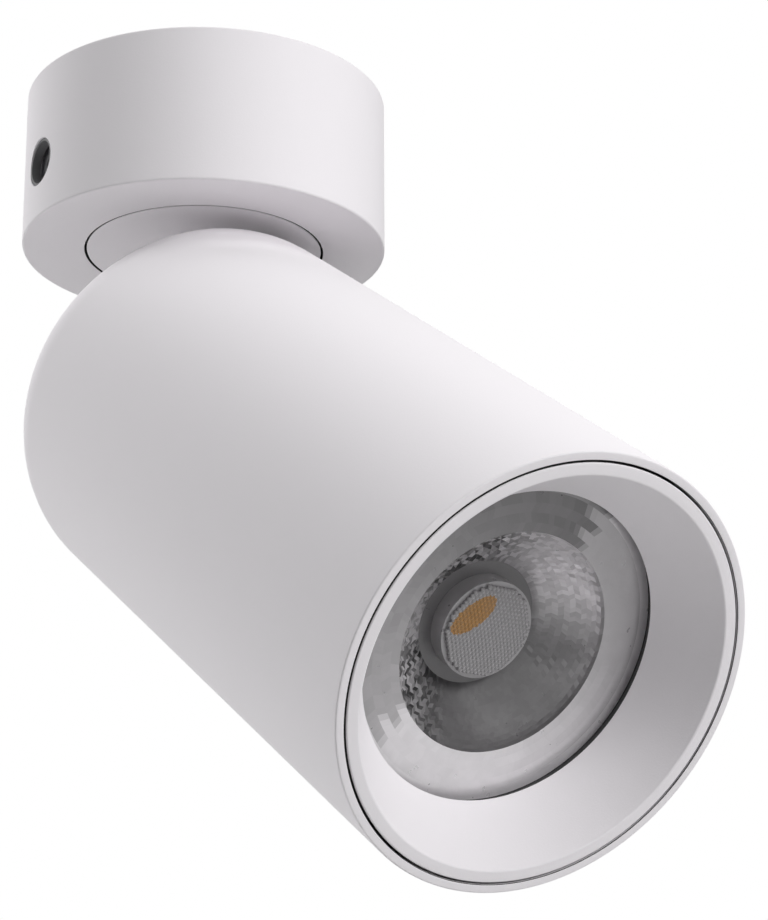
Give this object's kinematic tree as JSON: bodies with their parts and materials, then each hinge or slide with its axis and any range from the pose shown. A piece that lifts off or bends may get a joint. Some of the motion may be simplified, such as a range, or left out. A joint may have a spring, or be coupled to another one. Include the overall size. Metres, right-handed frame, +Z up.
{
  "type": "ceiling spotlight",
  "caption": "White surface mounted ceiling spotlight: round canopy, swivel disc and a tubular tilting LED head with an anti-glare cone and a faceted lens.",
  "frame": {"origin": "on the ceiling, in the middle of the canopy's bracket", "axes": "Z up into the ceiling, X along the bracket's slots, the head hangs towards -Y"},
  "size_m": [0.0949, 0.1843, 0.192],
  "materials": {
    "white_paint": "fine matt white powder coat",
    "grey_trim": "dark grey moulded nylon",
    "black_plastic": "black moulded plastic",
    "white_plastic": "white moulded plastic",
    "zinc_steel": "bright zinc plated steel",
    "dark_steel": "black oxide steel",
    "slide_plastic": "natural acetal",
    "brass": "turned brass",
    "aluminium": "bare extruded aluminium",
    "circuit_board": "green solder mask",
    "ceramic": "white ceramic board",
    "phosphor": "amber silicone phosphor",
    "grey_silicone": "grey thermal silicone",
    "clear_acrylic": "clear moulded optic",
    "can_foil": "dark blue sleeve",
    "core_tape": "yellow winding tape"
  },
  "bodies": {
    "canopy": {"canopy_shell": "white_paint", "ceiling_bracket": "zinc_steel", "side_bushes": "grey_trim", "side_screws": "dark_steel", "terminal_block": "white_plastic", "terminal_screws": "zinc_steel", "earth_screw": "brass", "pan_plate": "zinc_steel", "pan_plate_screws": "zinc_steel", "pan_bush": "brass", "pan_stop_screw": "zinc_steel"},
    "swivel": {"swivel_disc": "white_paint", "pan_stop_pin": "zinc_steel", "swivel_arm": "white_paint", "spindle": "zinc_steel", "lower_slide_washer": "slide_plastic", "upper_slide_washer": "slide_plastic", "pan_spring_washer": "zinc_steel", "spindle_nut": "zinc_steel"},
    "head": {"head_housing": "white_paint", "tilt_bracket": "zinc_steel", "bracket_screws": "zinc_steel", "pivot_bolt": "zinc_steel", "friction_washers": "slide_plastic", "tilt_spring_washer": "zinc_steel", "pivot_nut": "zinc_steel", "spacer_posts": "zinc_steel", "post_screws": "zinc_steel", "driver_case": "white_plastic", "driver_screws": "zinc_steel", "driver_lid": "white_plastic", "driver_board": "circuit_board", "driver_transformer": "core_tape", "driver_capacitor": "can_foil", "heatsink": "aluminium", "thermal_pad": "grey_silicone", "cob_board": "ceramic", "cob_phosphor": "phosphor", "cob_holder": "white_plastic", "cob_screws": "zinc_steel", "lens_ring": "black_plastic", "lens_ring_screws": "zinc_steel", "lens": "clear_acrylic", "anti_glare_cone": "white_paint"}
  },
  "joints": [
    {"name": "pan", "type": "hinge", "parent": "canopy", "child": "swivel", "pos_m": [0, 0, -0.036], "axis": [0, 0, 1], "range_deg": [-180, 170]},
    {"name": "tilt", "type": "hinge", "parent": "swivel", "child": "head", "pos_m": [0, 0, -0.0738], "axis": [0.9962, 0.0872, 0], "range_deg": [-5, 55]}
  ]
}
